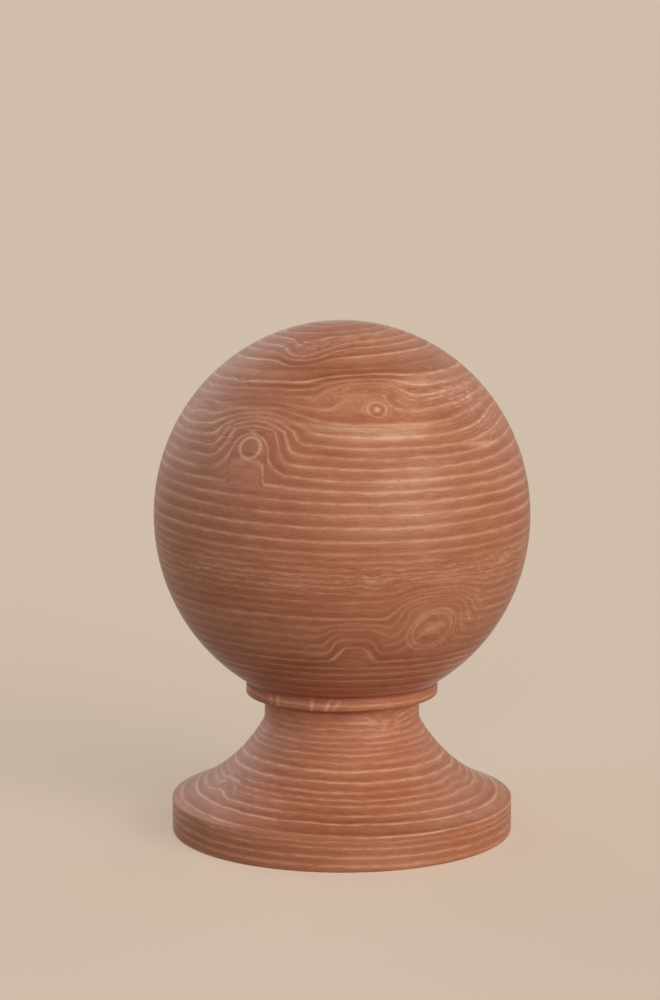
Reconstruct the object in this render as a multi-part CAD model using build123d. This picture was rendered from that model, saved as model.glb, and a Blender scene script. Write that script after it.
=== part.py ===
from build123d import *
import math
import os

# A ball finial turned from one length of wood, in millimetres. The turning axis is Z and the
# underside lies at z = 0. Each size below can be changed by itself.

# Ball, which is a little taller than it is wide
BALL_WIDTH = 55.0
BALL_HEIGHT = 56.8

# Collar, the thin disc that the ball sits on
COLLAR_OVERHANG = 2.7  # how far it stands out from the neck
COLLAR_HEIGHT = 2.1  # from its underside to where the ball meets its side
COLLAR_EDGE_CHAMFER = 0.35

# Neck, the straight waist under the collar
NECK_DIAMETER = 22.8
NECK_LENGTH = 3.1
NECK_CORNER_CHAMFER = 0.4

# Cove, two arcs that run into each other: a tight one at the neck, then a wide one to the rim
COVE_HEIGHT = 12.4
COVE_TOP_RADIUS = 2.8
COVE_TOP_TURN = 30.5  # degrees that the tight arc turns outward

# Band, the straight side at the bottom
BASE_DIAMETER = 50.2
BAND_HEIGHT = 5.0
RIM_EDGE_CHAMFER = 0.2
FOOT_EDGE_CHAMFER = 0.3

# Blind hole for a dowel, drilled up the axis from the underside
DOWEL_HOLE_DIAMETER = 8.0
DOWEL_HOLE_DEPTH = 25.0  # of the full-width wall, without the drill's point
DRILL_POINT_ANGLE = 118.0
HOLE_MOUTH_CHAMFER = 0.5

# Heights above the underside
COVE_TOP = BAND_HEIGHT + COVE_HEIGHT
COLLAR_UNDERSIDE = COVE_TOP + NECK_LENGTH
COLLAR_TOP = COLLAR_UNDERSIDE + COLLAR_HEIGHT

# Radii
NECK_RADIUS = NECK_DIAMETER / 2
COLLAR_RADIUS = NECK_RADIUS + COLLAR_OVERHANG
BASE_RADIUS = BASE_DIAMETER / 2
HOLE_RADIUS = DOWEL_HOLE_DIAMETER / 2


def ball_arc():
    """The ball's outline, from its highest point down to the collar's top corner."""
    half_width = BALL_WIDTH / 2
    half_height = BALL_HEIGHT / 2
    meeting_angle = math.degrees(math.acos(COLLAR_RADIUS / half_width))
    centre = COLLAR_TOP + half_height * math.sin(math.radians(meeting_angle))
    return EllipticalCenterArc(
        (0, centre), half_width, half_height, 90, arc_size=-90 - meeting_angle
    )


def cove_arcs():
    """The cove's tight arc, straight down where it leaves the neck, and the wide arc it runs into."""
    turn = math.radians(COVE_TOP_TURN)
    top = Vector(NECK_RADIUS, COVE_TOP)
    change = top + COVE_TOP_RADIUS * Vector(1 - math.cos(turn), -math.sin(turn))
    tight = TangentArc(top, change, tangent=(0, -1))
    wide = TangentArc(change, (BASE_RADIUS, BAND_HEIGHT), tangent=tight % 1)
    return tight, wide


def broken(face, corner, size):
    """The face with the corner at this place taken off by a chamfer of this size."""
    nearest = min(face.vertices(), key=lambda vertex: (Vector(vertex) - Vector(*corner)).length)
    return chamfer(nearest, size)


def profile():
    """Half of the finial's outline on the XZ plane, from the axis out."""
    ball = ball_arc()
    tight, wide = cove_arcs()
    side = Polyline(
        ball @ 1,
        (COLLAR_RADIUS, COLLAR_UNDERSIDE),
        (NECK_RADIUS, COLLAR_UNDERSIDE),
        tight @ 0,
    )
    foot = Polyline(wide @ 1, (BASE_RADIUS, 0), (0, 0), ball @ 0)
    face = make_face([ball, *side.edges(), tight, wide, *foot.edges()])
    face = broken(face, (COLLAR_RADIUS, COLLAR_UNDERSIDE), COLLAR_EDGE_CHAMFER)
    face = broken(face, (NECK_RADIUS, COLLAR_UNDERSIDE), NECK_CORNER_CHAMFER)
    face = broken(face, (BASE_RADIUS, BAND_HEIGHT), RIM_EDGE_CHAMFER)
    face = broken(face, (BASE_RADIUS, 0), FOOT_EDGE_CHAMFER)
    return Plane.XZ * face


def dowel_hole():
    """What the drill takes out: a straight hole with the drill's point and a small chamfer."""
    point = HOLE_RADIUS / math.tan(math.radians(DRILL_POINT_ANGLE / 2))
    outline = Polyline(
        (0, 0),
        (HOLE_RADIUS + HOLE_MOUTH_CHAMFER, 0),
        (HOLE_RADIUS, HOLE_MOUTH_CHAMFER),
        (HOLE_RADIUS, HOLE_MOUTH_CHAMFER + DOWEL_HOLE_DEPTH),
        (0, HOLE_MOUTH_CHAMFER + DOWEL_HOLE_DEPTH + point),
        close=True,
    )
    return revolve(Plane.XZ * make_face(outline), Axis.Z)


def finial():
    """The whole turned piece."""
    return revolve(profile(), Axis.Z) - dowel_hole()


os.makedirs("parts", exist_ok=True)
export_step(finial(), "parts/finial.step")
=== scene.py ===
import math

import bpy
from bpy.props import FloatProperty, FloatVectorProperty, IntProperty, PointerProperty
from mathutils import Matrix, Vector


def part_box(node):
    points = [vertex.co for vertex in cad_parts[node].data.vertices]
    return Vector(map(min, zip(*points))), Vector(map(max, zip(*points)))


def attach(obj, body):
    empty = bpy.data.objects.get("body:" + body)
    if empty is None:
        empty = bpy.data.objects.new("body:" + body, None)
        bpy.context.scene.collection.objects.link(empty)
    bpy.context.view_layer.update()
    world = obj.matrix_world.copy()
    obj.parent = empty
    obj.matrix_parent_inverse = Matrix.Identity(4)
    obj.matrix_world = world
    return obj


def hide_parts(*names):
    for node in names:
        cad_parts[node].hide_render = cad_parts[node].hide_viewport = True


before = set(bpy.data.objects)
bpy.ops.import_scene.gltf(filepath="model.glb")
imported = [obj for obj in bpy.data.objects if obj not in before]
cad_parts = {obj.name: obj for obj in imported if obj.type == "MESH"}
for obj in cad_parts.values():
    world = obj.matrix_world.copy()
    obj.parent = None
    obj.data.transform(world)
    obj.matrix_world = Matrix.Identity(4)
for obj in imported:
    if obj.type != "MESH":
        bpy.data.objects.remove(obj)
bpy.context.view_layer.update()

bl_info = {
    "name": "Turned ball finial",
    "version": (1, 0, 0),
    "blender": (4, 5, 0),
    "location": "3D View > Sidebar > Finial",
    "description": "A ball finial turned from one length of reddish wood, with its stage",
    "category": "Add Mesh",
}

NODE_LOW, NODE_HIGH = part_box("finial")
MM = 0.001


def from_srgb(red, green, blue):
    """A colour written as 0 to 255 on a screen, as the linear numbers that Blender works in."""
    shares = (red / 255, green / 255, blue / 255)
    return tuple(c / 12.92 if c <= 0.04045 else ((c + 0.055) / 1.055) ** 2.4 for c in shares)


class FinialSizes(bpy.types.PropertyGroup):
    """The sizes of the turned outline."""

    ball_width: FloatProperty(
        name="Ball width", description="Across the ball at its widest",
        default=NODE_HIGH.x - NODE_LOW.x, unit="LENGTH")
    ball_height: FloatProperty(
        name="Ball height",
        description="The whole ellipse of the ball, with what the collar hides",
        default=56.8 * MM, unit="LENGTH")
    collar_overhang: FloatProperty(
        name="Collar overhang", description="How far the collar stands out from the neck",
        default=2.7 * MM, unit="LENGTH")
    collar_height: FloatProperty(
        name="Collar height",
        description="From the collar's underside to where the ball meets its side",
        default=2.1 * MM, unit="LENGTH")
    neck_diameter: FloatProperty(
        name="Neck diameter", description="Across the straight waist under the collar",
        default=22.8 * MM, unit="LENGTH")
    neck_length: FloatProperty(
        name="Neck length", description="The straight part of the waist",
        default=3.1 * MM, unit="LENGTH")
    cove_height: FloatProperty(
        name="Cove height", description="From the rim up to the neck",
        default=12.4 * MM, unit="LENGTH")
    cove_top_radius: FloatProperty(
        name="Cove top radius", description="The tight arc where the cove leaves the neck",
        default=2.8 * MM, unit="LENGTH")
    cove_top_turn: FloatProperty(
        name="Cove top turn", description="How far the tight arc turns outward",
        default=math.radians(30.5), subtype="ANGLE")
    base_diameter: FloatProperty(
        name="Base diameter", description="Across the band at the foot",
        default=50.2 * MM, unit="LENGTH")
    band_height: FloatProperty(
        name="Band height", description="The straight side at the foot",
        default=5.0 * MM, unit="LENGTH")
    hole_diameter: FloatProperty(
        name="Dowel hole diameter", description="The blind hole up the axis",
        default=8.0 * MM, unit="LENGTH")
    hole_depth: FloatProperty(
        name="Dowel hole depth", description="Its full-width wall, without the drill's point",
        default=25.0 * MM, unit="LENGTH")
    segments: IntProperty(
        name="Segments", description="Faces round the axis", default=256, min=32, max=512)


class FinialWood(bpy.types.PropertyGroup):
    """The colours and finish of the wood."""

    dark: FloatVectorProperty(
        name="Dark wood", description="The late wood beside a growth line",
        subtype="COLOR", size=3, default=from_srgb(153, 83, 55))
    middle: FloatVectorProperty(
        name="Middle wood", description="The ground colour",
        subtype="COLOR", size=3, default=from_srgb(198, 122, 87))
    pale: FloatVectorProperty(
        name="Pale wood", description="The growth lines and pale clouds",
        subtype="COLOR", size=3, default=from_srgb(244, 190, 155))
    roughness: FloatProperty(
        name="Roughness", description="How dull the satin finish is",
        default=0.46, subtype="FACTOR", min=0, max=1)
    relief: FloatProperty(
        name="Relief", description="How deep the fibres can be felt",
        default=0.03 * MM, unit="LENGTH")


class FinialStage(bpy.types.PropertyGroup):
    """The backdrop and the light."""

    backdrop: FloatVectorProperty(
        name="Backdrop", description="Colour of the floor and of what is behind it",
        subtype="COLOR", size=3, default=from_srgb(208, 189, 170))
    light_level: FloatProperty(
        name="Light level", description="Scales all the lights together",
        default=1.0, min=0)


# Soft lights: name, azimuth and elevation in degrees, strength and colour
LIGHTS = (
    ("key_light", 45, 13, 1.95, (1.0, 1.0, 0.97)),
    ("front_light", 0, 16, 0.7, (1.0, 0.93, 0.92)),
    ("high_light", 45, 60, 0.27, (1.0, 0.85, 0.6)),
    ("left_fill", -75, 22, 0.66, (0.62, 0.84, 1.0)),
    ("left_rim", -140, 26, 0.7, (0.88, 0.92, 1.0)),
    ("right_rim", 130, 30, 0.42, (0.72, 0.95, 1.0)),
    ("back_light", 180, 40, 0.08, (0.9, 0.95, 1.0)),
)
LIGHT_SPREAD = 50  # degrees across each light
FLOOR_PAINT = 0.9  # how much of the backdrop colour the floor's paint gives back
FLOOR_GAIN = 1.03  # measured, against the sum over each light's face
FLOOR_REACH = 40.0  # metres from the finial to each side of the floor
BOUNCED_FLOOR = (0.1, 0.09, 0.08)  # the floor's colour for light it throws back on the finial

# The camera
CAMERA_PLACE = (-0.001755, -0.43314, 0.11722)  # metres
CAMERA_TIP = 0.156  # radians down from level
CAMERA_LENS = 108.0  # millimetres
SENSOR_WIDTH = 36.0  # millimetres


def level_share(elevation, steps=24):
    """How much of a light's strength reaches a level floor, averaged over the light's face."""
    edge = math.tan(math.radians(LIGHT_SPREAD / 2))
    rise, run = math.sin(math.radians(elevation)), math.cos(math.radians(elevation))
    total = 0.0
    for ring in range(steps):
        reach = edge * math.sqrt((ring + 0.5) / steps)
        for part in range(steps):
            height = rise + run * reach * math.cos(2 * math.pi * (part + 0.5) / steps)
            total += max(height, 0.0) / math.sqrt(1 + reach ** 2)
    return FLOOR_GAIN * total / steps ** 2


def floor_light(colour):
    """How brightly all the lights light a white floor, in this one of the three colours."""
    return sum(light[3] * light[4][colour] * level_share(light[2]) for light in LIGHTS) / math.pi


class Value:
    """A number socket that is written as ordinary maths; each operation adds its Math node."""

    def __init__(self, recipe, socket):
        self.recipe = recipe
        self.socket = socket

    def __add__(self, other):
        return self.recipe.math("ADD", self, other)

    def __radd__(self, other):
        return self.recipe.math("ADD", other, self)

    def __sub__(self, other):
        return self.recipe.math("SUBTRACT", self, other)

    def __rsub__(self, other):
        return self.recipe.math("SUBTRACT", other, self)

    def __mul__(self, other):
        return self.recipe.math("MULTIPLY", self, other)

    def __rmul__(self, other):
        return self.recipe.math("MULTIPLY", other, self)

    def __truediv__(self, other):
        return self.recipe.math("DIVIDE", self, other)

    def __rtruediv__(self, other):
        return self.recipe.math("DIVIDE", other, self)

    def __neg__(self):
        return self.recipe.math("MULTIPLY", self, -1.0)


class Recipe:
    """The nodes of one material or of the world."""

    def __init__(self, tree):
        self.tree = tree
        tree.nodes.clear()

    def add(self, kind, settings=None, sockets=None):
        """A node of this type, with its settings made first and then its sockets filled."""
        node = self.tree.nodes.new("ShaderNode" + kind)
        count = len(self.tree.nodes)
        node.location = (count % 16 * 200, -(count // 16) * 240)
        for name, setting in (settings or {}).items():
            if name == "stops":
                fill_ramp(node.color_ramp, setting)
            elif name == "points":
                fill_curve(node.mapping, setting)
            else:
                setattr(node, name, setting)
        for name, given in (sockets or {}).items():
            if isinstance(given, Value):
                given = given.socket
            if isinstance(given, bpy.types.NodeSocket):
                self.tree.links.new(given, node.inputs[name])
            else:
                node.inputs[name].default_value = given
        return node

    def math(self, operation, *numbers):
        """One Math node on numbers or Values."""
        node = self.add("Math", {"operation": operation}, dict(enumerate(numbers)))
        return Value(self, node.outputs[0])

    def step(self, number, low, high):
        """0 below low, 1 above high and a smooth rise between them; low may be the larger."""
        node = self.add(
            "MapRange", {"interpolation_type": "SMOOTHSTEP"},
            {"Value": number, "From Min": low, "From Max": high})
        return Value(self, node.outputs["Result"])

    def bell(self, number):
        """1 at nothing, falling away on both sides."""
        return self.math("EXPONENT", -(number * number))

    def scaled(self, vector, factors):
        """The vector with each of its parts multiplied by its own factor."""
        node = self.add("VectorMath", {"operation": "MULTIPLY"}, {0: vector, 1: factors})
        return node.outputs["Vector"]

    def noise(self, vector, detail=2.0, roughness=0.5):
        """Smooth noise from 0 to 1 about one half, one feature to each unit of the vector."""
        node = self.add(
            "TexNoise", None,
            {"Vector": vector, "Scale": 1.0, "Detail": detail, "Roughness": roughness})
        return Value(self, node.outputs["Fac"])

    def curve(self, number, points):
        """The number read off a line through these points, which run from 0 to 1."""
        node = self.add("FloatCurve", {"points": points}, {"Value": number})
        return Value(self, node.outputs["Value"])

    def parts(self, vector):
        """The vector's three numbers."""
        node = self.add("SeparateXYZ", None, {0: vector})
        return [Value(self, socket) for socket in node.outputs]

    def joined(self, x, y, z):
        """A vector of three numbers."""
        return self.add("CombineXYZ", None, {0: x, 1: y, 2: z}).outputs[0]


def fill_ramp(ramp, stops):
    """The stops of a colour ramp, as place and colour."""
    while len(ramp.elements) > 1:
        ramp.elements.remove(ramp.elements[-1])
    ramp.elements[0].position = stops[0][0]
    ramp.elements[0].color = (*stops[0][1], 1)
    for place, colour in stops[1:]:
        ramp.elements.new(place).color = (*colour, 1)


def fill_curve(mapping, points):
    """The points of a curve, whose first and last are at 0 and 1."""
    curve = mapping.curves[0]
    curve.points[0].location = points[0]
    curve.points[1].location = points[-1]
    for point in points[1:-1]:
        curve.points.new(*point)
    for point in curve.points:
        point.handle_type = "VECTOR"
    mapping.extend = "HORIZONTAL"
    mapping.update()


def arc(centre, radii, start, end, steps):
    """Points along an ellipse's arc, in degrees from outward, both ends included."""
    turns = [math.radians(start + (end - start) * k / steps) for k in range(steps + 1)]
    return [
        (centre[0] + radii[0] * math.cos(turn), centre[1] + radii[1] * math.sin(turn))
        for turn in turns
    ]


def rounded(corner, before, after, size, steps=4):
    """A small round in place of a corner, from size along one side to size along the other."""
    def toward(point):
        reach = math.dist(corner, point)
        return [c + (p - c) * size / reach for c, p in zip(corner, point)]

    start, end = toward(before), toward(after)
    points = []
    for k in range(steps + 1):
        share = k / steps
        points.append(tuple(
            (1 - share) ** 2 * a + 2 * share * (1 - share) * c + share ** 2 * b
            for a, c, b in zip(start, corner, end)
        ))
    return points


def divided(start, end, count):
    """Points between two ends, without the ends."""
    return [
        tuple(a + (b - a) * k / count for a, b in zip(start, end)) for k in range(1, count)
    ]


# Small rounds in place of the crisp corners, and the dowel hole's mouth and point
COLLAR_EDGE = 0.35 * MM
NECK_CORNER = 0.4 * MM
RIM_EDGE = 0.2 * MM
FOOT_EDGE = 0.3 * MM
HOLE_MOUTH = 0.5 * MM
DRILL_POINT_ANGLE = 118.0  # degrees

# How many steps the mesh takes along each stretch of the outline
BALL_STEPS = 150
SHORT_STEPS = 6
BAND_STEPS = 8
TIGHT_STEPS = 10
WIDE_STEPS = 60
HIDDEN_STEPS = 12


class Outline:
    """Half of the finial's outline, as distance from the axis and height."""

    def __init__(self, sizes):
        neck = sizes.neck_diameter / 2
        collar = neck + sizes.collar_overhang
        base = sizes.base_diameter / 2
        hole = sizes.hole_diameter / 2
        cove_top = sizes.band_height + sizes.cove_height
        collar_low = cove_top + sizes.neck_length
        collar_high = collar_low + sizes.collar_height
        half_width = sizes.ball_width / 2
        half_height = sizes.ball_height / 2
        meeting = math.degrees(math.acos(collar / half_width))
        centre = collar_high + half_height * math.sin(math.radians(meeting))

        ball = arc((0, centre), (half_width, half_height), 90, -meeting, BALL_STEPS)
        edge = (collar, collar_low)
        crook = (neck, collar_low)
        cove = self.cove(neck, cove_top, base, sizes)
        rim = (base, sizes.band_height)
        foot = (base, 0.0)
        top = HOLE_MOUTH + sizes.hole_depth
        point = hole / math.tan(math.radians(DRILL_POINT_ANGLE / 2))

        self.outside = [
            *ball,
            *divided((collar, collar_high), edge, SHORT_STEPS),
            *rounded(edge, (collar, collar_high), crook, COLLAR_EDGE),
            *divided(edge, crook, SHORT_STEPS)[1:-1],
            *rounded(crook, edge, (neck, cove_top), NECK_CORNER),
            *divided(crook, (neck, cove_top), SHORT_STEPS)[1:],
            *cove[:-1],
            *rounded(rim, cove[-2], foot, RIM_EDGE),
            *divided(rim, foot, BAND_STEPS),
            *rounded(foot, rim, (0.0, 0.0), FOOT_EDGE),
        ]
        self.inside = [
            *divided(foot, (hole + HOLE_MOUTH, 0.0), HIDDEN_STEPS),
            (hole + HOLE_MOUTH, 0.0),
            (hole, HOLE_MOUTH),
            *divided((hole, HOLE_MOUTH), (hole, top), HIDDEN_STEPS),
            (hole, top),
            (0.0, top + point),
        ]

    def cove(self, neck, cove_top, base, sizes):
        """The tight arc at the neck and the wide one that it runs into, from the top down."""
        tight, turn = sizes.cove_top_radius, sizes.cove_top_turn
        middle = (neck + tight, cove_top)
        change = (middle[0] - tight * math.cos(turn), middle[1] - tight * math.sin(turn))
        run, drop = base - change[0], change[1] - sizes.band_height
        wide = self.wide_radius(run, drop, turn)
        centre = (change[0] + wide * math.cos(turn), change[1] + wide * math.sin(turn))
        end = math.degrees(math.atan2(sizes.band_height - centre[1], base - centre[0])) % 360
        start = 180 + math.degrees(turn)
        return [
            *arc(middle, (tight, tight), 180, start, TIGHT_STEPS),
            *arc(centre, (wide, wide), start, end, WIDE_STEPS)[1:],
        ]

    @staticmethod
    def wide_radius(run, drop, turn):
        """Radius of the arc that leaves at this turn and ends that far out and down."""
        return (run ** 2 + drop ** 2) / 2 / (run * math.cos(turn) - drop * math.sin(turn))

    def radius_at(self, height):
        """How far the outer surface is from the axis at this height."""
        for upper, lower in zip(self.outside, self.outside[1:]):
            if lower[1] <= height <= upper[1] and upper[1] > lower[1]:
                share = (upper[1] - height) / (upper[1] - lower[1])
                return upper[0] + share * (lower[0] - upper[0])
        return self.outside[-1][0]


ON_AXIS = 1e-9  # metres; a point nearer the axis than this closes the surface in one point
SHARP_CORNER = 40  # degrees; a corner over this stays crisp


def lathe(name, outline, segments):
    """The outline turned round Z, with a bake layout whose rows follow the outline."""
    points = [(r, z) for r, z in outline.outside + outline.inside if r > ON_AXIS]
    bottom = len(outline.outside) - 1
    top_point, tip_point = outline.outside[0], outline.inside[-1]
    places = [(0.0, 0.0, top_point[1])]
    for r, z in points:
        for k in range(segments):
            turn = 2 * math.pi * k / segments
            places.append((r * math.sin(turn), -r * math.cos(turn), z))
    places.append((0.0, 0.0, tip_point[1]))

    heights = bake_rows([top_point, *points, tip_point], bottom)
    faces, layout = [], []
    for k in range(segments):
        left, right = k / segments, (k + 1) / segments
        after = (k + 1) % segments
        faces.append((0, 1 + k, 1 + after))
        layout += [((left + right) / 2, heights[0]), (left, heights[1]), (right, heights[1])]
    for row in range(len(points) - 1):
        high, low = heights[row + 1], heights[row + 2]
        for k in range(segments):
            left, right = k / segments, (k + 1) / segments
            after = (k + 1) % segments
            here, below = 1 + row * segments, 1 + (row + 1) * segments
            faces.append((here + k, below + k, below + after, here + after))
            layout += [(left, high), (left, low), (right, low), (right, high)]
    last = 1 + (len(points) - 1) * segments
    for k in range(segments):
        left, right = k / segments, (k + 1) / segments
        after = (k + 1) % segments
        faces.append((last + k, len(places) - 1, last + after))
        layout += [(left, heights[-2]), ((left + right) / 2, heights[-1]), (right, heights[-2])]

    mesh = bpy.data.meshes.new(name)
    mesh.from_pydata(places, [], faces)
    layer = mesh.uv_layers.new(name="OFBake")
    layer.uv.foreach_set("vector", [number for place in layout for number in place])
    mesh.shade_smooth()
    mesh.set_sharp_from_angle(angle=math.radians(SHARP_CORNER))
    mesh.validate()
    return mesh


def bake_rows(points, bottom, outer_share=0.84):
    """The height of each point in the bake layout; the hidden inside gets the smaller share."""
    lengths = [0.0]
    for before, after in zip(points, points[1:]):
        lengths.append(lengths[-1] + math.dist(before, after))
    turn, whole = lengths[bottom], lengths[-1]
    rows = []
    for length in lengths:
        if length <= turn:
            rows.append(1 - outer_share * length / turn)
        else:
            rows.append((1 - outer_share) * (whole - length) / (whole - turn))
    return rows


# The growth lines at the front of the finial: height in millimetres from the underside, and
# strength
GROWTH_LINES = (
    (-1.2, 0.4), (-0.3, 0.4), (0.92, 0.5), (2.17, 0.5), (3.5, 0.5), (4.3, 0.35), (5.14, 0.8),
    (6.24, 1.0), (7.04, 0.7), (8.07, 0.45), (8.66, 0.6), (9.49, 0.55), (10.61, 0.75),
    (11.99, 0.9), (12.95, 0.3), (13.93, 0.6), (14.62, 0.35), (15.38, 0.45), (16.25, 0.35),
    (17.3, 0.35), (18.25, 0.2), (19.2, 0.25), (20.3, 0.3), (21.43, 0.5), (22.3, 0.3),
    (23.4, 0.45), (24.62, 0.45), (26.1, 0.7), (27.3, 0.5), (28.4, 0.5), (29.5, 0.65),
    (30.9, 0.4), (32.2, 0.3),
    (33.6, 0.25), (35.0, 0.25), (36.4, 0.65), (37.7, 0.2), (38.9, 0.3), (40.2, 0.3),
    (41.1, 0.5), (41.9, 0.35), (42.7, 0.5), (43.6, 0.4), (44.6, 0.35), (45.8, 0.45),
    (47.5, 0.68), (49.4, 0.66), (51.15, 0.6), (52.7, 0.6), (54.25, 0.66), (55.7, 0.66),
    (57.2, 0.62), (58.6, 0.56), (59.9, 0.5), (61.35, 0.75), (62.9, 0.5), (64.5, 0.5),
    (66.2, 0.4), (67.3, 0.5), (68.6, 1.0), (70.0, 0.12), (71.5, 1.0), (72.5, 0.7),
    (73.15, 0.6), (74.0, 0.6), (74.5, 0.5), (75.1, 0.5), (76.0, 0.5),
)

# Knots that the growth lines climb over: azimuth in degrees from the front; bluntness of the
# sides and half width; None, or the bluntness and half width that they turn into higher up and
# the heights between which they do; then the lift of the lines at each height. Lengths are in
# millimetres.
KNOTS = (
    (-31.5, 3.6, 5.0, (2.0, 5.3, 59.5, 63.5), (
        (55.4, 0.0), (62.0, 4.86), (62.6, 3.9), (63.3, 3.1), (64.0, 2.35), (65.0, 1.2),
        (66.4, 0.2), (67.0, 0.0))),
    (-31.5, 2.2, 9.0, None, (
        (52.0, 0.0), (54.6, 0.5), (58.2, 0.6), (61.8, 1.05), (63.3, 1.2), (65.0, 1.0), (66.4, 0.6),
        (68.4, 0.0))),
    (-31.5, 14.0, 2.95, None, (
        (54.3, 0.0), (55.3, 1.3), (58.2, 0.92), (60.3, 0.2), (61.5, 0.0))),
    (31.0, 3.6, 4.4, (3.6, 5.8, 33.0, 38.0), (
        (29.6, 0.0), (31.0, 0.8), (34.0, 3.2), (37.0, 5.2), (38.0, 4.4), (39.5, 2.4),
        (41.5, 0.6), (43.0, 0.0))),
    (4.0, 4.4, 3.0, (4.4, 3.8, 31.0, 34.0), (
        (28.7, 0.0), (31.8, 2.35), (33.3, 2.3), (34.2, 1.6), (35.2, 0.7), (36.2, 0.0))),
    (9.0, 3.2, 4.2, (3.2, 5.6, 64.0, 68.0), (
        (63.8, 0.0), (64.6, 0.5), (66.8, 2.3), (68.1, 2.1), (69.2, 0.9), (70.2, 0.0))),
    (80.0, 2.2, 11.0, None, (
        (55.0, 0.0), (60.0, 1.3), (63.6, 2.6), (65.8, 1.4), (68.5, 0.0))),
    (-63.0, 3.0, 2.0, (3.0, 2.5, 63.0, 65.0), ((63.0, 0.0), (64.6, 0.9), (66.2, 0.0))),
    (-64.0, 3.0, 2.2, None, ((6.4, 0.0), (8.3, 0.62), (10.2, 0.0))),
    (64.0, 3.0, 2.2, None, ((6.9, 0.0), (8.8, 0.3), (10.9, 0.0))),
    (-24.0, 3.0, 3.0, (3.0, 3.7, 70.0, 73.0), (
        (69.6, 0.0), (70.4, -0.8), (71.5, -1.2), (72.8, -0.8), (73.9, 0.0))),
    (35.0, 3.0, 1.8, (3.0, 2.6, 16.0, 19.0), ((16.3, 0.0), (18.4, -1.6), (20.3, 0.0))),
    (140.0, 3.4, 3.4, (3.4, 5.2, 50.0, 56.0), (
        (47.0, 0.0), (50.0, 2.0), (54.0, 4.4), (56.0, 4.9), (57.5, 3.9), (59.5, 1.6),
        (62.0, 0.0))),
    (-118.0, 3.4, 3.4, (3.4, 4.8, 37.0, 42.0), (
        (35.0, 0.0), (38.0, 2.2), (41.0, 4.1), (42.5, 3.5), (44.5, 1.6), (47.0, 0.0))),
    (-160.0, 3.0, 3.0, (3.0, 4.4, 62.0, 66.0), (
        (61.0, 0.0), (63.0, 1.4), (65.4, 2.4), (67.0, 1.4), (68.6, 0.0))),
    (105.0, 3.0, 2.6, (3.0, 3.6, 30.0, 33.0), (
        (29.4, 0.0), (31.0, 1.1), (33.0, 2.2), (34.6, 1.2), (36.2, 0.0))),
)

# Closed rings: azimuth, height, half width, half height, lean in degrees, ring radii as shares
# of that half size, and strength
CLOSED_RINGS = (
    (-31.5, 59.7, 1.65, 1.4, 0.0, (1.0,), 0.85),
    (31.0, 34.1, 3.15, 2.5, 12.0, (1.0, 1.24), 0.45),
    (13.0, 65.0, 1.35, 0.95, 0.0, (1.0,), 0.75),
    (13.0, 65.0, 2.0, 1.4, 0.0, (1.0,), 0.3),
    (140.0, 53.0, 2.0, 1.5, 0.0, (0.55, 1.0), 0.9),
    (-118.0, 39.2, 2.6, 1.8, -6.0, (0.5, 0.8, 1.1), 0.8),
)

# Soft pale and dark places in the wood, some pale ones on the ball's front also a painted
# highlight: azimuth, height, half width, half height, lean and tone
CLOUDS_AND_PAINTED_HIGHLIGHTS = (
    (-27.0, 68.35, 7.0, 0.22, 1.0, 0.3),
    # These five, near 62 mm up on the ball's front, are pale wood and partly a painted highlight
    (18.0, 61.5, 3.6, 0.5, 2.0, 0.3),
    (-9.0, 62.8, 5.0, 0.35, -7.0, 0.26),
    (8.0, 62.4, 4.0, 0.35, -5.0, 0.22),
    (26.0, 62.6, 4.6, 0.4, 3.0, 0.2),
    (12.0, 62.0, 12.0, 1.9, 0.0, 0.2),
    (22.0, 51.0, 9.0, 6.0, 0.0, 0.1),
    (53.0, 59.5, 3.4, 0.35, -3.0, 0.4),
    (34.0, 68.2, 4.4, 0.5, 0.0, 0.36),
    (-35.0, 64.8, 6.5, 0.25, 2.0, 0.26),
    (8.0, 64.0, 5.5, 0.6, 0.0, -0.2),
    (45.0, 63.3, 6.5, 0.8, 0.0, -0.14),
    (44.0, 58.9, 6.5, 0.5, 0.0, -0.1),
    (-4.0, 70.0, 16.0, 0.9, 0.0, -0.2),
    (50.0, 70.6, 8.0, 0.7, 0.0, -0.12),
    (31.0, 34.1, 2.8, 2.2, 12.0, -0.2),
    (31.0, 34.2, 2.0, 0.9, 8.0, 0.55),
    (-2.2, 30.6, 1.2, 0.3, 46.0, 0.3),
    (10.0, 30.6, 1.2, 0.3, -50.0, 0.3),
    (13.0, 65.0, 1.9, 1.2, 0.0, -0.2),
    (13.0, 65.0, 0.45, 0.34, 0.0, 0.75),
    (10.0, 66.0, 6.0, 1.8, 0.0, 0.1),
    (-24.0, 72.3, 2.2, 0.7, 0.0, 0.06),
    (12.0, 73.6, 5.0, 0.6, 0.0, 0.1),
    (14.0, 42.3, 3.0, 0.28, 0.0, 0.2),
    (40.0, 43.0, 3.0, 0.25, 4.0, 0.2),
    (58.0, 43.2, 2.2, 0.22, 0.0, 0.18),
    (-50.0, 43.0, 6.0, 0.8, 0.0, 0.08),
    (56.0, 28.4, 2.6, 0.4, 8.0, 0.14),
    (13.0, 18.3, 2.4, 0.2, 0.0, 0.26),
    (-47.0, 21.4, 0.3, 1.2, 0.0, 0.24),
    (-41.0, 21.4, 0.3, 1.3, 0.0, 0.36),
    (-18.0, 21.4, 0.28, 1.3, -4.0, 0.36),
    (-9.0, 21.2, 0.3, 1.3, -24.0, 0.36),
    (-3.6, 21.4, 0.25, 1.1, -36.0, 0.28),
)

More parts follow.
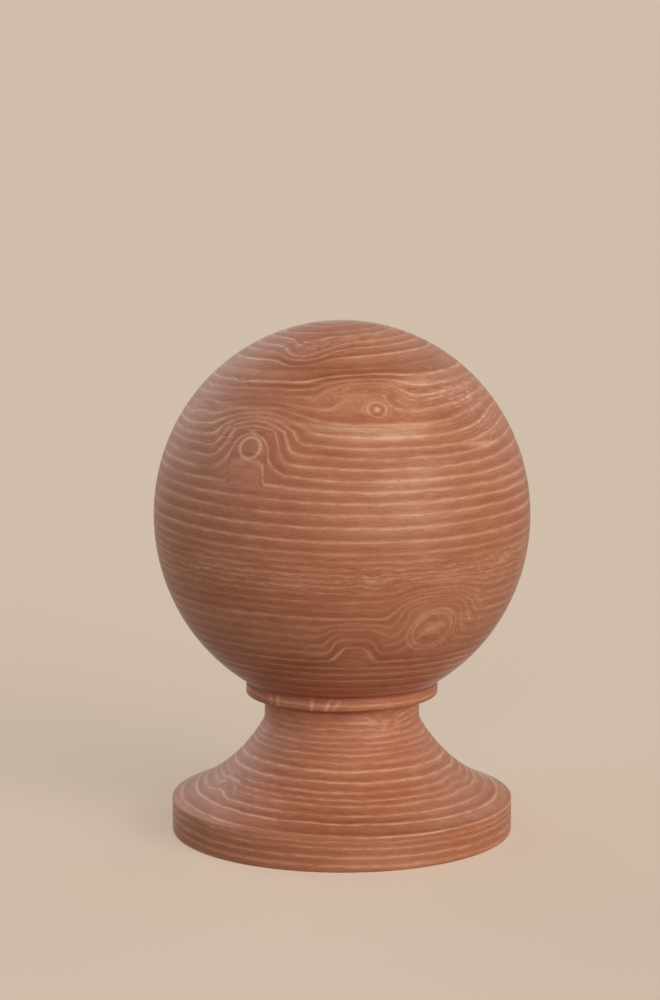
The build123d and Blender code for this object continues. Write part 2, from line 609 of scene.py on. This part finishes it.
# Places where the growth lines are weaker: azimuth, height, half width, half height and share lost
CALM_PLACES = (
    (31.0, 38.0, 7.0, 2.8, 0.6),
    (-2.0, 67.0, 4.5, 1.3, 0.6),
    (-24.0, 72.6, 3.0, 1.0, 0.5),
    (-31.5, 56.6, 1.6, 1.2, 0.8),
    (-31.5, 64.2, 7.0, 1.4, 0.45),
    (64.0, 9.0, 4.0, 2.0, 0.4),
    (-64.0, 8.5, 4.0, 2.0, 0.3),
    (31.0, 34.1, 2.6, 2.1, 0.85),
    (-36.0, 66.4, 8.0, 1.1, 0.5),
)

# Places where the grain is curled: azimuth, height, half width, half height and how much
CURLY_PLACES = (
    (-24.0, 72.6, 2.8, 0.9, 1.5),
    (-1.0, 67.3, 3.0, 0.8, 1.0),
    (-51.0, 68.2, 2.0, 0.8, 1.0),
    (10.0, 42.3, 6.5, 1.5, 0.7),
    (42.0, 42.8, 3.0, 1.1, 0.6),
    (57.0, 43.7, 3.6, 1.3, 0.6),
    (-40.0, 43.8, 6.0, 1.4, 0.3),
    (170.0, 43.0, 9.0, 1.5, 0.6),
)

# Heights of the painted shade in the creases, on the collar's top under the ball and under the
# collar, and half the width of each
PAINTED_CREASE_SHADE = ((22.5, 0.34), (20.25, 0.4))

# Places where fine lines show between the growth lines: azimuth, height, half width and height
FINE_PLACES = (
    (34.0, 66.4, 9.0, 1.7),
    (56.0, 66.0, 7.0, 1.8),
    (-44.0, 61.0, 5.0, 2.2),
    (60.0, 62.0, 6.0, 1.6),
    (38.0, 18.2, 5.0, 1.6),
    (-60.0, 9.0, 6.0, 2.0),
    (46.0, 35.0, 4.0, 3.0),
    (-20.0, 73.0, 8.0, 1.2),
)


# How the growth lines lean: their climb to the right low down, what is added to it near the
# top, and their climb to the back in the ball's middle, with the heights between which each
# sets in and how far in front of the axis that climb starts
LEAN_RIGHT = -0.015
LEAN_RIGHT_ADDED = 0.07
LEAN_RIGHT_TURNS = (61, 72)
LEAN_FRONT = 0.035
LEAN_FRONT_STARTS = (38, 48)
LEAN_FRONT_ENDS = (66, 58)
LEAN_FRONT_PLACE = 27.0

# The curly band under the ball's middle: how curled it is and where it starts and ends
BAND_CURL = 0.35
BAND_STARTS = (38.6, 42.2)
BAND_ENDS = (46.4, 43.0)

# Noise of the wood: features per millimetre across, across and up
SLOW_SHAKE = (0.05, 0.05, 0.09)
FINE_SHAKE = (0.25, 0.25, 0.7)
CURL_SHAKE = (0.3, 0.3, 1.1)
FLECKS = (0.6, 0.6, 3.0)
YEARS = (0.03, 0.03, 0.45)
BLOTCHES = (0.12, 0.12, 0.35)
FIBRES = (0.4, 0.4, 5.0)
GRIT = (2.4, 2.4, 6.5)
SPECKS = (0.55, 0.55, 2.6)
FADES = 0.1  # per millimetre along a growth line
NEXT_LINE = 3.7  # how far the noise of one growth line is from the next one's

# How far noise moves the growth lines, in millimetres
STEADY_SHAKE = 0.4
CURLY_SHAKE = 2.4

# Growth lines, in millimetres
LINE_HALF_WIDTH = 0.22
DARK_ABOVE = 0.62  # from a line to the middle of the dark wood above it
DARK_HALF_WIDTH = 0.48
FINE_HALF_WIDTH = 0.15
RING_HALF_WIDTH = 0.24
WIDEST_SPACING = 2.2
SPACING_REACH = 0.8  # how far above and below a point the spacing is read
FINE_EVERYWHERE = 0.12  # how much the fine lines show outside their places

# How much each part of the figure changes the tone, which runs from 0 to 1
MIDDLE_TONE = 0.36
YEAR_TONE = 0.28
BLOTCH_TONE = 0.36
FIBRE_TONE = 0.62
GRIT_TONE = 0.3
SPECK_TONE = 0.2
SPECKS_EVERYWHERE = 0.15
# How dark the painted shade in the creases is
PAINTED_SHADE_TONE = 0.5
LINE_TONE = 0.5
FINE_TONE = 0.3
DARK_TONE = 0.2

# Limits that keep the sums sound
FLATTEST = 0.03  # of the square of a slope, so that nothing is divided by 0
LEAST_SHAKE = 0.3  # where a knot spreads the growth lines out
NEAR_KNOT = 0.05  # of a knot's half width
OWN_SIDE = 4.0  # millimetres out from the axis where a knot is in full
NUDGE = 0.15  # millimetres up and down over which a knot's slope is read
SPOT_LIMIT = 0.004  # per square millimetre, so that a spot doesn't come out on the far side
RING_LIMIT = 0.002  # the same for a closed ring


class Wood:
    """The figure of the wood, with its painted shade and painted highlight, worked out at each
    point of the finial in millimetres.
    """

    def __init__(self, recipe, outline):
        self.recipe = recipe
        self.outline = outline
        place = recipe.add("TexCoord").outputs["Object"]
        self.place = recipe.scaled(place, (1 / MM, 1 / MM, 1 / MM))
        self.x, self.y, self.z = recipe.parts(self.place)
        slant = recipe.parts(recipe.add("TexCoord").outputs["Normal"])[2]
        level = recipe.math("MAXIMUM", 1 - slant * slant, FLATTEST)
        self.steepness = recipe.math("SQRT", level)

    def point(self, azimuth, height):
        """The point of the surface at this azimuth and height."""
        turn = math.radians(azimuth)
        radius = self.outline.radius_at(height * MM) / MM
        return (radius * math.sin(turn), -radius * math.cos(turn), height)

    def along(self, vector, azimuth, lean=0.0, unit=1.0):
        """How far the vector goes to the right along the surface there, in this unit."""
        turn, lean = math.radians(azimuth), math.radians(lean)
        flat = math.cos(lean)
        direction = (math.cos(turn) * flat, math.sin(turn) * flat, math.sin(lean))
        return self.dot(vector, [part / unit for part in direction])

    def upward(self, vector, azimuth, lean=0.0, unit=1.0):
        """How far the vector goes up the surface there, square to along()."""
        turn, lean = math.radians(azimuth), math.radians(lean)
        back = -math.sin(lean)
        direction = (math.cos(turn) * back, math.sin(turn) * back, math.cos(lean))
        return self.dot(vector, [part / unit for part in direction])

    def dot(self, vector, other):
        """The dot product of two vectors, as a number."""
        node = self.recipe.add(
            "VectorMath", {"operation": "DOT_PRODUCT"}, {0: vector, 1: other})
        return Value(self.recipe, node.outputs["Value"])

    def offset(self, azimuth, height):
        """The way from a point of the surface to the point being shaded."""
        node = self.recipe.add(
            "VectorMath", {"operation": "SUBTRACT"},
            {0: self.place, 1: self.point(azimuth, height)})
        return node.outputs["Vector"]

    def square_from(self, azimuth, height, wide, tall, lean):
        """The square of the distance from a point of the surface, over a half size, and bare."""
        offset = self.offset(azimuth, height)
        across = self.along(offset, azimuth, lean, wide)
        up = self.upward(offset, azimuth, lean, tall)
        return across * across + up * up, self.dot(offset, offset)

    def spot(self, azimuth, height, wide, tall, lean=0.0):
        """1 at a point of the surface, falling away over these distances."""
        square, reach = self.square_from(azimuth, height, wide, tall, lean)
        return self.recipe.math("EXPONENT", -(square + reach * SPOT_LIMIT))

    def lift(self, azimuth, blunt, width, above, lifts):
        """How far a knot lifts the growth lines, and how fast that changes upward and across."""
        recipe = self.recipe
        angle = math.radians(azimuth)
        across = self.along(self.place, azimuth)
        outward = self.dot(self.place, (math.sin(angle), -math.cos(angle), 0.0))
        if above:
            high_blunt, high_width, turns_from, turns_to = above
            turn = recipe.step(self.z, turns_from, turns_to)
            width = width + (high_width - width) * turn
            blunt = blunt + (high_blunt - blunt) * turn
        share = recipe.math("MAXIMUM", recipe.math("ABSOLUTE", across / width), NEAR_KNOT)
        power = recipe.math("POWER", share, blunt)
        most = max((lift for _, lift in lifts), key=abs)
        bell = most * recipe.math("EXPONENT", -power) * recipe.step(outward, 0.0, OWN_SIDE)
        low, high = lifts[0][0], lifts[-1][0]
        points = [((height - low) / (high - low), lift / most) for height, lift in lifts]
        place, shift = (self.z - low) / (high - low), NUDGE / (high - low)
        lifted = bell * recipe.curve(place, points)
        change = recipe.curve(place + shift, points) - recipe.curve(place - shift, points)
        return lifted, bell * change / (2 * NUDGE), lifted * power * blunt / (share * width)

    def grain_height(self):
        """The height of each point in the grain, where growth lines are level, and its slope."""
        recipe = self.recipe
        lean_right = LEAN_RIGHT + LEAN_RIGHT_ADDED * recipe.step(self.z, *LEAN_RIGHT_TURNS)
        starts = LEAN_FRONT * recipe.step(self.z, *LEAN_FRONT_STARTS)
        lean_front = starts * recipe.step(self.z, *LEAN_FRONT_ENDS)
        height = self.z - self.x * lean_right - (self.y + LEAN_FRONT_PLACE) * lean_front
        rise, lean = 0.0, 0.0
        for knot in KNOTS:
            lifted, upward, across = self.lift(*knot)
            height = height - lifted
            rise = rise + upward
            lean = lean + across * across
        climb = (1 - rise) * self.steepness
        gradient = recipe.math("SQRT", recipe.math("MAXIMUM", climb * climb + lean, FLATTEST))
        steady = recipe.math("MINIMUM", recipe.math("MAXIMUM", climb, LEAST_SHAKE), 1.0)
        curly = self.curliness()
        slow = recipe.noise(recipe.scaled(self.place, SLOW_SHAKE), 1.0)
        fine = recipe.noise(recipe.scaled(self.place, FINE_SHAKE))
        curl = recipe.noise(recipe.scaled(self.place, CURL_SHAKE), 2.0, 0.6)
        shake = STEADY_SHAKE * (slow - 0.5) + STEADY_SHAKE * (fine - 0.5)
        shake = shake + CURLY_SHAKE * curly * (curl - 0.5)
        return height + steady * shake, gradient

    def curliness(self):
        """How curled the grain is: in a band under the ball's middle and in a few places."""
        recipe = self.recipe
        band = recipe.step(self.z, *BAND_STARTS) * recipe.step(self.z, *BAND_ENDS)
        total = BAND_CURL * band
        for azimuth, height, wide, tall, share in CURLY_PLACES:
            total = total + self.spot(azimuth, height, wide, tall) * share
        return total

    def rings(self):
        """The growth lines, the dark wood above each, and finer lines between them."""
        recipe = self.recipe
        low, high = GROWTH_LINES[0][0], GROWTH_LINES[-1][0]
        count = len(GROWTH_LINES) - 1
        places = [(height - low) / (high - low) for height, _ in GROWTH_LINES]
        numbers = [(place, k / count) for k, place in enumerate(places)]
        strengths = [(place, line[1]) for place, line in zip(places, GROWTH_LINES)]

        def ring_number(height):
            return count * recipe.curve((height - low) / (high - low), numbers)

        fine_place = FINE_EVERYWHERE
        for place in FINE_PLACES:
            fine_place = fine_place + self.spot(*place)
        calm = 1.0
        for azimuth, height, wide, tall, lost in CALM_PLACES:
            calm = calm - self.spot(azimuth, height, wide, tall) * lost
        height, gradient = self.grain_height()
        number = ring_number(height)
        passed = ring_number(height + SPACING_REACH) - ring_number(height - SPACING_REACH)
        spacing = 2 * SPACING_REACH / (passed + 0.01)
        spacing = recipe.math("MINIMUM", spacing, WIDEST_SPACING) / gradient
        past = recipe.math("FRACT", number)
        above = past * spacing
        nearest = recipe.math("MINIMUM", above, spacing - above)
        third = recipe.math("PINGPONG", number * 3.0, 0.5) * spacing / 3.0

        line_id = recipe.math("ROUND", number)
        strength = calm * recipe.curve((height - low) / (high - low), strengths)
        flecks = recipe.noise(recipe.scaled(self.place, FLECKS))
        line = recipe.bell(nearest / LINE_HALF_WIDTH) * strength * self.fade(line_id, flecks)
        dark = recipe.bell((above - DARK_ABOVE) / DARK_HALF_WIDTH) * (0.2 + 0.8 * strength)
        fine = recipe.bell(third / FINE_HALF_WIDTH) * recipe.step(flecks, 0.42, 0.62) * fine_place
        return line, dark, fine, height

    def fade(self, line_id, flecks):
        """Growth lines come and go along their length, each in its own places."""
        recipe = self.recipe
        place = recipe.joined(self.x * FADES, self.y * FADES, line_id * NEXT_LINE)
        coarse = recipe.noise(place)
        long_fade = 0.2 + 0.8 * recipe.step(coarse, 0.3, 0.52)
        return long_fade * (0.6 + 0.4 * recipe.step(flecks, 0.35, 0.55))

    def closed(self, azimuth, height, wide, tall, lean, radii, strength):
        """Thin pale rings round a knot."""
        recipe = self.recipe
        square, reach = self.square_from(azimuth, height, wide, tall, lean)
        share = recipe.math("SQRT", square + reach * RING_LIMIT)
        total = 0.0
        for radius in radii:
            total = total + recipe.bell((share - radius) * (wide + tall) / 2 / RING_HALF_WIDTH)
        return total * strength

    def tone(self):
        """How pale the wood is, from 0 to 1, with painted shade in the creases and a painted
        highlight on the ball's front, and its fine relief.
        """
        recipe = self.recipe
        # The wood's pale and dark clouds, with a painted highlight among the pale ones on the
        # ball's front
        clouds_and_painted_highlights = 0.0
        for azimuth, height, wide, tall, lean, tone in CLOUDS_AND_PAINTED_HIGHLIGHTS:
            clouds_and_painted_highlights = clouds_and_painted_highlights + self.spot(azimuth, height, wide, tall, lean) * tone
        closed = 0.0
        for ring in CLOSED_RINGS:
            closed = closed + self.closed(*ring)
        line, dark, fine, height = self.rings()
        line = recipe.math("MAXIMUM", line, closed)
        flow = recipe.joined(self.x, self.y, height)
        year = recipe.noise(recipe.scaled(flow, YEARS))
        blotch = recipe.noise(recipe.scaled(flow, BLOTCHES), 3.0, 0.6)
        fibre = recipe.noise(recipe.scaled(flow, FIBRES), 4.0, 0.75)
        grit = recipe.noise(recipe.scaled(self.place, GRIT), 2.0, 0.7)
        speck = recipe.noise(recipe.scaled(self.place, SPECKS), 2.0, 0.6)
        ground = MIDDLE_TONE + YEAR_TONE * (year - 0.5) + BLOTCH_TONE * (blotch - 0.5)
        ground = ground + FIBRE_TONE * (fibre - 0.5) + GRIT_TONE * (grit - 0.5)
        specks = SPECK_TONE * recipe.step(speck, 0.5, 0.7)
        ground = ground + specks * (SPECKS_EVERYWHERE + self.curliness())
        # Painted shade: the wood is darkened in bands at the collar's creases, where shadow falls
        for place, half in PAINTED_CREASE_SHADE:
            ground = ground - PAINTED_SHADE_TONE * recipe.bell((self.z - place) / half)
        tone = ground + clouds_and_painted_highlights * (0.55 + 0.9 * fibre)
        tone = tone + LINE_TONE * line + FINE_TONE * fine - DARK_TONE * dark
        return tone, grit


def wood_material(look, outline):
    """The satin reddish wood."""
    material = bpy.data.materials.new("satin_wood")
    material.use_nodes = True
    recipe = Recipe(material.node_tree)
    wood = Wood(recipe, outline)
    tone, relief = wood.tone()
    ramp = recipe.add("ValToRGB", {"stops": [
        (0.0, tuple(look.dark)),
        (MIDDLE_TONE, tuple(look.middle)),
        (1.0, tuple(look.pale)),
    ]}, {"Fac": tone})
    bump = recipe.add("Bump", None, {
        "Strength": 1.0, "Distance": look.relief, "Height": relief})
    roughness = look.roughness + 0.1 * (0.5 - tone)
    shader = recipe.add("BsdfPrincipled", None, {
        "Base Color": ramp.outputs["Color"],
        "Roughness": roughness,
        "IOR": 1.5,
        "Specular IOR Level": 0.42,
        "Sheen Weight": 0.5,
        "Sheen Roughness": 0.2,
        "Sheen Tint": (1.0, 0.96, 0.94, 1.0),
        "Normal": bump.outputs["Normal"],
    })
    recipe.add("OutputMaterial", None, {"Surface": shader.outputs["BSDF"]})
    return material


class FINIAL_OT_turn(bpy.types.Operator):
    """Turn the finial and finish its wood"""

    bl_idname = "finial.turn"
    bl_label = "Turned finial"

    def execute(self, context):
        sizes = context.scene.finial_sizes
        outline = Outline(sizes)
        mesh = lathe("turned_finial", outline, sizes.segments)
        mesh.materials.append(wood_material(context.scene.finial_wood, outline))
        piece = bpy.data.objects.new("turned_finial", mesh)
        context.scene.collection.objects.link(piece)
        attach(piece, "root")
        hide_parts("finial")
        return {"FINISHED"}


def add_sun(name, azimuth, elevation, strength, colour):
    """A wide soft light from this side, so that the floor is lit evenly."""
    lamp = bpy.data.lights.new(name, "SUN")
    lamp.energy = strength
    lamp.color = colour
    lamp.angle = math.radians(LIGHT_SPREAD)
    obj = bpy.data.objects.new(name, lamp)
    obj.rotation_euler = (math.radians(90 - elevation), 0, math.radians(azimuth))
    bpy.context.scene.collection.objects.link(obj)


class FINIAL_OT_stage(bpy.types.Operator):
    """Lay the floor, hang the lights and place the camera"""

    bl_idname = "finial.stage"
    bl_label = "Stage"

    def execute(self, context):
        look = context.scene.finial_stage
        self.sky(look)
        self.lights(look)
        self.floor(look)
        self.camera(context)
        return {"FINISHED"}

    def seen(self, recipe):
        """1 where the camera, a reflection or a clear material looks, and 0 for bounced light."""
        path = recipe.add("LightPath")
        rays = [Value(recipe, path.outputs[name]) for name in (
            "Is Camera Ray", "Is Glossy Ray", "Is Transmission Ray")]
        return recipe.math("MINIMUM", rays[0] + rays[1] + rays[2], 1.0)

    def sky(self, look):
        """The backdrop's colour where it is seen, and no light from it."""
        world = bpy.data.worlds.new("backdrop")
        bpy.context.scene.world = world
        world.use_nodes = True
        recipe = Recipe(world.node_tree)
        light = recipe.add("Background", None, {"Color": (0.0, 0.0, 0.0, 1.0)})
        shown = recipe.add("Background", None, {
            "Color": (*look.backdrop, 1.0), "Strength": 1.0})
        both = recipe.add("MixShader", None, {
            0: self.seen(recipe), 1: light.outputs[0], 2: shown.outputs[0]})
        recipe.add("OutputWorld", None, {"Surface": both.outputs[0]})

    def lights(self, look):
        """All the soft lights."""
        for name, azimuth, elevation, strength, colour in LIGHTS:
            add_sun(name, azimuth, elevation, strength * look.light_level, colour)

    def floor(self, look):
        """A plain floor that shows the backdrop's colour wherever the finial throws no shadow."""
        mesh = bpy.data.meshes.new("floor")
        corners = ((-1, -1), (1, -1), (1, 1), (-1, 1))
        mesh.from_pydata(
            [(FLOOR_REACH * x, FLOOR_REACH * y, 0) for x, y in corners], [], [(0, 1, 2, 3)])
        floor = bpy.data.objects.new("floor", mesh)
        bpy.context.scene.collection.objects.link(floor)
        material = bpy.data.materials.new("plain_floor")
        material.use_nodes = True
        recipe = Recipe(material.node_tree)
        paint = [FLOOR_PAINT * shade for shade in look.backdrop]
        lit = [shade * floor_light(k) * look.light_level for k, shade in enumerate(paint)]
        painted = recipe.add("BsdfDiffuse", None, {"Color": (*paint, 1.0)})
        even = recipe.add("Emission", None, {
            "Color": (*(shade - part for shade, part in zip(look.backdrop, lit)), 1.0),
            "Strength": 1.0})
        shown = recipe.add("AddShader", None, {0: painted.outputs[0], 1: even.outputs[0]})
        bounced = recipe.add("BsdfDiffuse", None, {"Color": (*BOUNCED_FLOOR, 1.0)})
        both = recipe.add("MixShader", None, {
            0: self.seen(recipe), 1: bounced.outputs[0], 2: shown.outputs[0]})
        recipe.add("OutputMaterial", None, {"Surface": both.outputs[0]})
        mesh.materials.append(material)

    def camera(self, context):
        """A long lens above the finial's top, tipped down."""
        data = bpy.data.cameras.new("camera")
        data.lens = CAMERA_LENS
        data.sensor_width = SENSOR_WIDTH
        camera = bpy.data.objects.new("camera", data)
        camera.location = CAMERA_PLACE
        camera.rotation_euler = (math.pi / 2 - CAMERA_TIP, 0, 0)
        context.scene.collection.objects.link(camera)
        context.scene.camera = camera
        context.scene.view_settings.view_transform = "Standard"


class FINIAL_PT_panel(bpy.types.Panel):
    """The finial's operators, sizes and looks"""

    bl_idname = "FINIAL_PT_panel"
    bl_label = "Ball finial"
    bl_space_type = "VIEW_3D"
    bl_region_type = "UI"
    bl_category = "Finial"

    def draw(self, context):
        layout = self.layout
        layout.operator(FINIAL_OT_turn.bl_idname)
        layout.operator(FINIAL_OT_stage.bl_idname)
        for group in (
            context.scene.finial_sizes, context.scene.finial_wood, context.scene.finial_stage
        ):
            box = layout.box()
            for name in group.__annotations__:
                box.prop(group, name)


CLASSES = (
    FinialSizes, FinialWood, FinialStage, FINIAL_OT_turn, FINIAL_OT_stage, FINIAL_PT_panel,
)


def register():
    for cls in CLASSES:
        bpy.utils.register_class(cls)
    bpy.types.Scene.finial_sizes = PointerProperty(type=FinialSizes)
    bpy.types.Scene.finial_wood = PointerProperty(type=FinialWood)
    bpy.types.Scene.finial_stage = PointerProperty(type=FinialStage)


def unregister():
    del bpy.types.Scene.finial_stage
    del bpy.types.Scene.finial_wood
    del bpy.types.Scene.finial_sizes
    for cls in reversed(CLASSES):
        bpy.utils.unregister_class(cls)


def main():
    register()
    bpy.ops.finial.turn()
    bpy.ops.finial.stage()


if __name__ == "__main__":
    main()
